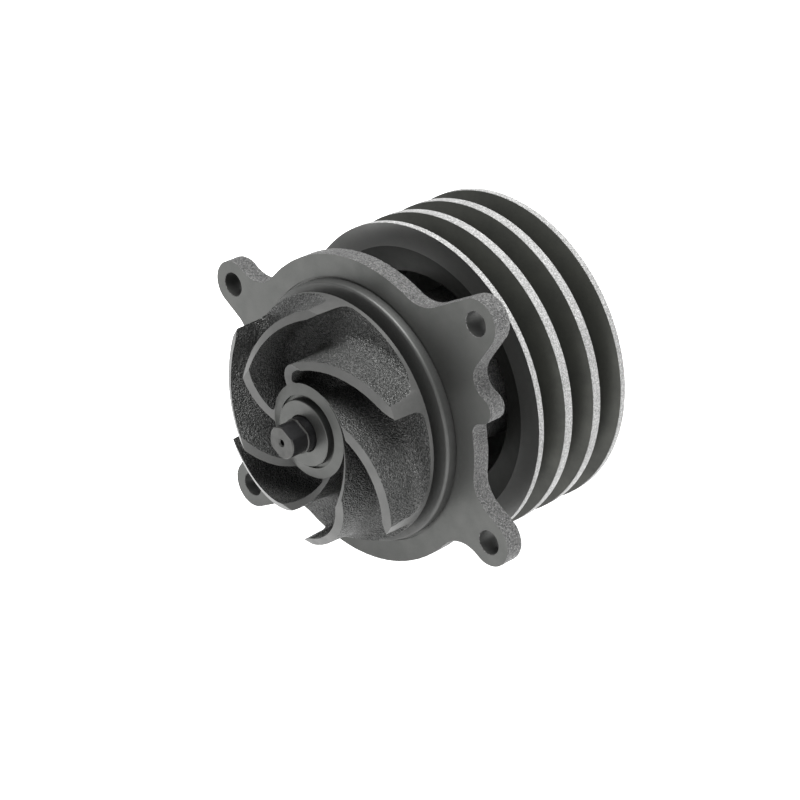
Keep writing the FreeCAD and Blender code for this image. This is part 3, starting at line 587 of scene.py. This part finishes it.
def make_housing():
    """The casting with its sides left rough; the front, pilot, chambers and ear holes machined."""
    over = 3.0
    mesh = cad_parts["housing"].data.copy()
    repair(mesh, 1e-6)
    for vertex in mesh.vertices:
        radius = math.hypot(vertex.co.x, vertex.co.z) / MM
        if radius > PILOT_RADIUS + 0.5 and abs(vertex.co.y) < 0.1 * MM:
            vertex.co.y = -over * MM
    shells = [link("housing_copy", mesh)]
    shells.append(lathe("pilot_blank", [(0, -7), (PILOT_RADIUS + 2, -7), (PILOT_RADIUS + 2, 4), (0, 4)], 128))
    filler = [(0, 0), (WIDEST_BORE + 1, 0), (WIDEST_BORE + 1, BARREL_END + over), (0, BARREL_END + over)]
    shells.append(lathe("barrel_plug", filler, 128))
    plug_radius = EAR_HOLE_RADIUS + 1.6
    plug_rear = FLANGE_THICKNESS + 0.35
    plug = [(0, -over), (plug_radius, -over), (plug_radius, plug_rear), (0, plug_rear)]
    for distance, angle in EAR_HOLES:
        shells.append(lathe("ear_plug", plug, 48, ear_centre(distance, angle)))
    casting = join(shells, "housing_casting")
    as_cast(casting, 0.68, 4)
    roughen(casting, 1.3, 0.09)
    boolean(casting, lathe("machining", MACHINED_AWAY), "DIFFERENCE")
    edge = 0.2
    drill = [(0, -over), (EAR_HOLE_RADIUS + edge + over, -over), (EAR_HOLE_RADIUS, edge),
             (EAR_HOLE_RADIUS, FLANGE_THICKNESS + over), (0, FLANGE_THICKNESS + over)]
    for distance, angle in EAR_HOLES:
        boolean(casting, lathe("ear_drill", drill, 96, ear_centre(distance, angle)), "DIFFERENCE")
    weep = lathe("weep_drill", [(0, 5), (WEEP_RADIUS, 5), (WEEP_RADIUS, 60), (0, 60)], 48)
    weep.data.transform(Matrix.Translation((0, WEEP_PLACE * MM, 0)) @ Matrix.Rotation(-math.pi / 2, 4, "X"))
    boolean(casting, weep, "DIFFERENCE")

    def choose(centre, normal):
        radius = math.hypot(centre.x, centre.z)
        if radius < PILOT_RADIUS + 1.1 and centre.y < -0.05:
            return 1
        if centre.y < 0.05 or centre.y > BARREL_END - 0.05 or radius < WIDEST_BORE:
            return 0
        if radius < PILOT_RADIUS + 1.1 and centre.y < 0.6:
            return 0
        if radius < RECESS_RADIUS + 0.1 and centre.y < RECESS_FLOOR + 0.1:
            return 0
        # Ear hole walls take the darker copy, painted shade.
        for distance, angle in EAR_HOLES:
            x, z = ear_centre(distance, angle)
            if math.hypot(centre.x - x, centre.z - z) < EAR_HOLE_RADIUS + 0.05:
                return 3
        return 2

    finish_mesh(casting, [TURNED, PILOT, CAST_PALE, HOLE], choose)
    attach(casting, "housing")
    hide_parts("housing")


# ---------------------------------------------------------------- shaft, washer and nut

FLATS_TURN = 59.5
THREAD_START, SHAFT_REAR = 79.5, 91.0
THREAD_PITCH = 1.5
THREAD_RADIUS = 7.0


def make_shaft():
    """Stepped shaft with broken edges, two flats in front and a thread behind."""
    profile = [
        (0, -38.1), (1.2, -38.8), (1.2, -41.7), (1.8, -42.3), (6.5, -42.3), (7.0, -41.8), (7.0, -34.2),
        (7.1, -34.2), (7.5, -33.8), (7.5, -13.2), (8.0, -13.2), (8.0, 23.0), (12.1, 23.0), (12.5, 23.4),
        (12.5, 26.0), (10.0, 26.0), (10.0, 66.0), (SEAT_RADIUS, 66.0), (SEAT_RADIUS, WEB_REAR),
        (6.2, WEB_REAR), (6.2, SHAFT_REAR), (0, SHAFT_REAR),
    ]
    shaft = lathe("shaft_turned", profile, 192)
    for half_turn in (0, 180):
        boolean(shaft, flat_cutter(FLATS_TURN + half_turn), "DIFFERENCE")
    cut_keyway(shaft)

    def choose(centre, normal):
        # Faces turned to the front take the lighter copy, painted light.
        return int(centre.y < -42.25 or (normal.y < -0.3 and centre.y < -33.7))

    finish_mesh(shaft, [SHAFT, SHAFT_FRONT_PAINTED_LIGHT], choose)
    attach(shaft, "rotor")
    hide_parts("shaft")
    make_thread()


def flat_cutter(angle):
    """Takes away what stands beyond one flat, and leaves a small slope at the flat's end."""
    half_width = 6.0
    section = [(half_width, -46), (half_width + 6, -46), (half_width + 6, -33.7), (half_width + 0.5, -33.7),
               (half_width, -34.2)]
    out = Vector((math.cos(math.radians(angle)), 0, math.sin(math.radians(angle))))
    across = Vector((-out.z, 0, out.x)) * 12
    vertices = []
    for side in (-1, 1):
        for reach, place in section:
            vertices.append((out * reach + across * side + Vector((0, place, 0))) * MM)
    count = len(section)
    faces = [tuple(range(count)), tuple(range(2 * count - 1, count - 1, -1))]
    for index in range(count):
        following = (index + 1) % count
        faces.append((index, following, following + count, index + count))
    mesh = bpy.data.meshes.new("flat_cutter")
    mesh.from_pydata(vertices, [], faces)
    repair(mesh)
    return link("flat_cutter", mesh)


def make_thread():
    """The shaft's thread: a sleeve whose outside rises and falls along a helix."""
    segments = 96
    step = 0.125
    depth = 0.75
    rows = round((SHAFT_REAR - THREAD_START) / step)
    vertices = []
    for row in range(rows + 1):
        place = THREAD_START + row * step
        for index in range(segments):
            turn = index / segments
            wave = abs(((place / THREAD_PITCH - turn) % 1.0) * 2 - 1)
            radius = THREAD_RADIUS - 0.03 - depth * min(max(1.25 * wave - 0.15, 0.0), 1.0)
            radius = min(radius, THREAD_RADIUS - 1.1 + (SHAFT_REAR - place),
                         THREAD_RADIUS - 0.9 + (place - THREAD_START))
            angle = 2 * math.pi * turn
            vertices.append((radius * MM * math.cos(angle), place * MM, radius * MM * math.sin(angle)))
    for place in (THREAD_START, SHAFT_REAR):
        for index in range(segments):
            angle = 2 * math.pi * index / segments
            vertices.append((5 * MM * math.cos(angle), place * MM, 5 * MM * math.sin(angle)))
    faces = []
    inner_start = (rows + 1) * segments
    for index in range(segments):
        following = (index + 1) % segments
        for row in range(rows):
            low, high = row * segments, (row + 1) * segments
            faces.append((low + index, high + index, high + following, low + following))
        last = rows * segments
        front, rear = inner_start, inner_start + segments
        faces.append((index, following, front + following, front + index))
        faces.append((last + following, last + index, rear + index, rear + following))
        faces.append((front + index, front + following, rear + following, rear + index))
    mesh = bpy.data.meshes.new("shaft_thread")
    mesh.from_pydata(vertices, [], faces)
    repair(mesh)
    thread = link("shaft_thread", mesh)
    finish_mesh(thread, [SHAFT], angle=50)
    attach(thread, "rotor")


def make_washer_and_nut():
    face = WEB_REAR + 2.5
    washer = lathe("washer", [
        (7.0, WEB_REAR), (13.7, WEB_REAR), (14.0, WEB_REAR + 0.3), (14.0, face - 0.5), (13.5, face),
        (7.4, face), (7.0, face - 0.4),
    ], 192)
    finish_mesh(washer, [ZINC])
    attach(washer, "rotor")
    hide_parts("pulley_washer")

    top = face + 8.0
    corner = 10.5 / math.cos(math.radians(30))
    nut = lathe("nut", [
        (7.0, face), (10.3, face), (corner + 0.2, face + 0.9), (corner + 0.2, top - 1.1), (10.2, top),
        (7.7, top), (7.0, top - 0.7),
    ], 192)
    hexagon = [(corner * math.cos(math.radians(60 * side)), corner * math.sin(math.radians(60 * side)))
               for side in range(6)]
    boolean(nut, prism("hexagon", hexagon, face - 1, top + 1), "INTERSECT")
    finish_mesh(nut, [ZINC], angle=20)
    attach(nut, "rotor")
    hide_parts("pulley_nut")


# ---------------------------------------------------------------- pieces kept from the frame

NODE_MATERIALS = {
    "bearing_spacer": STEEL,
    "bearing_circlip": PRESSED,
    "seal_case": BRASS,
    "seal_spring": PRESSED,
    "seal_bellows": RUBBER,
    "seal_carbon_ring": CARBON,
    "seal_seat": CERAMIC,
    "seal_seat_cup": RUBBER,
    "slinger": PRESSED,
    "pulley_key": SHAFT,
}
for side in ("front", "rear"):
    for ending in ("outer_race", "inner_race", "balls"):
        NODE_MATERIALS[f"{side}_bearing_{ending}"] = STEEL
    for ending in ("cage", "shields"):
        NODE_MATERIALS[f"{side}_bearing_{ending}"] = PRESSED


def dress_nodes():
    for name, material in NODE_MATERIALS.items():
        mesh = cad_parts[name].data
        mesh.materials.clear()
        mesh.materials.append(material)


# ---------------------------------------------------------------- stage

def add_area(name, place, target, size, power):
    light = bpy.data.lights.new(name, "AREA")
    light.shape = "SQUARE"
    light.size = size
    light.energy = power
    lamp = bpy.data.objects.new(name, light)
    lamp.location = place
    lamp.rotation_euler = (Vector(target) - Vector(place)).to_track_quat("-Z", "Y").to_euler()
    bpy.context.scene.collection.objects.link(lamp)


def make_stage():
    """Pale floor, a soft white surround, a large overhead light and one from the right."""
    floor_size = 6.0
    mesh = bpy.data.meshes.new("floor")
    level = cad_low.z - 0.001
    corners = [(-floor_size, -floor_size), (floor_size, -floor_size), (floor_size, floor_size),
               (-floor_size, floor_size)]
    mesh.from_pydata([(x, y, level) for x, y in corners], [], [(0, 1, 2, 3)])
    floor = link("floor", mesh)
    shader = Shader("floor_paper", 0.0, 0.9)
    paper = shader.ramp(shader.noise(40, 2.0), 0.3, 0.7, 0.0, 1.0)
    shader.colour(shader.blend(paper, (0.42, 0.42, 0.42), (0.44, 0.44, 0.44)))
    shader.surface.inputs["Emission Color"].default_value = (1, 1, 1, 1)
    shader.surface.inputs["Emission Strength"].default_value = 1.5
    mesh.materials.append(shader.material)

    world = bpy.data.worlds.new("surround")
    world.use_nodes = True
    background = world.node_tree.nodes["Background"]
    background.inputs["Color"].default_value = (1, 1, 1, 1)
    background.inputs["Strength"].default_value = 0.48
    bpy.context.scene.world = world

    middle = (0, 0.02, 0)
    add_area("overhead", (0.15, -0.1, 1.25), middle, 1.0, 44)
    add_area("right_side", (1.3, 0.1, 0.45), middle, 0.9, 2)


def make_camera():
    """Looks at the pump from the front right and above."""
    azimuth = math.radians(45.21)
    elevation = math.radians(26.85)
    forward = Vector((-math.sin(azimuth) * math.cos(elevation), math.cos(azimuth) * math.cos(elevation),
                      -math.sin(elevation)))
    right = Vector((math.cos(azimuth), math.sin(azimuth), 0))
    up = right.cross(forward)
    data = bpy.data.cameras.new("camera")
    data.lens = 115.436
    data.sensor_width = 36
    data.clip_end = 20
    camera = bpy.data.objects.new("camera", data)
    place = Vector((0.6825, -0.65245, 0.4823))
    turn = Matrix((right, up, -forward)).transposed()
    camera.matrix_world = Matrix.Translation(place) @ turn.to_4x4()
    bpy.context.scene.collection.objects.link(camera)
    bpy.context.scene.camera = camera
    bpy.context.scene.view_settings.view_transform = "Standard"


make_camera()
make_stage()
dress_nodes()
make_pulley()
make_impeller()
make_housing()
make_shaft()
make_washer_and_nut()
